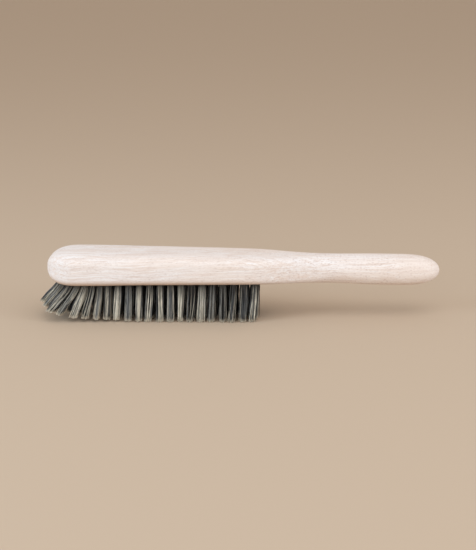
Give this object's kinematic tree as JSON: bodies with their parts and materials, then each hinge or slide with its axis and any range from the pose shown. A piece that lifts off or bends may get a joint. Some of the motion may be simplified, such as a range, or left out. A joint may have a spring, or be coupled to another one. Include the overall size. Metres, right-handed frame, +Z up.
{
  "type": "clothes brush",
  "caption": "Hand brush for garments: a one-piece wooden stock with a rounded toe and a long rounded handle, filled underneath with tufts of mixed natural fibre that fan out at the toe.",
  "frame": {"origin": "centre of the bounding box in X and Y, on the plane that the trimmed fibre tips stand on", "axes": "+X from the rounded toe to the handle end, +Y across the brush, +Z up from the fibre tips to the back of the stock"},
  "size_m": [0.3076, 0.0494, 0.0527],
  "materials": {
    "stock_wood": "bare, fine-sanded pale hardwood, matt satin",
    "tuft_fibre": "coarse natural fibre, charcoal, grey and straw mixed",
    "anchor_wire": "flat drawn wire"
  },
  "bodies": {
    "root": {"wooden_stock": "stock_wood", "tuft_row_01": "tuft_fibre", "tuft_row_02": "tuft_fibre", "tuft_row_03": "tuft_fibre", "tuft_row_04": "tuft_fibre", "tuft_row_05": "tuft_fibre", "tuft_row_06": "tuft_fibre", "tuft_row_07": "tuft_fibre", "tuft_row_08": "tuft_fibre", "tuft_row_09": "tuft_fibre", "tuft_row_10": "tuft_fibre", "tuft_row_11": "tuft_fibre", "tuft_row_12": "tuft_fibre", "tuft_row_13": "tuft_fibre", "tuft_row_14": "tuft_fibre", "tuft_row_15": "tuft_fibre", "tuft_row_16": "tuft_fibre", "tuft_row_17": "tuft_fibre", "tuft_row_18": "tuft_fibre", "tuft_row_19": "tuft_fibre", "tuft_row_20": "tuft_fibre", "anchor_row_01": "anchor_wire", "anchor_row_02": "anchor_wire", "anchor_row_03": "anchor_wire", "anchor_row_04": "anchor_wire", "anchor_row_05": "anchor_wire", "anchor_row_06": "anchor_wire", "anchor_row_07": "anchor_wire", "anchor_row_08": "anchor_wire", "anchor_row_09": "anchor_wire", "anchor_row_10": "anchor_wire", "anchor_row_11": "anchor_wire", "anchor_row_12": "anchor_wire", "anchor_row_13": "anchor_wire", "anchor_row_14": "anchor_wire", "anchor_row_15": "anchor_wire", "anchor_row_16": "anchor_wire", "anchor_row_17": "anchor_wire", "anchor_row_18": "anchor_wire", "anchor_row_19": "anchor_wire", "anchor_row_20": "anchor_wire"}
  },
  "joints": []
}
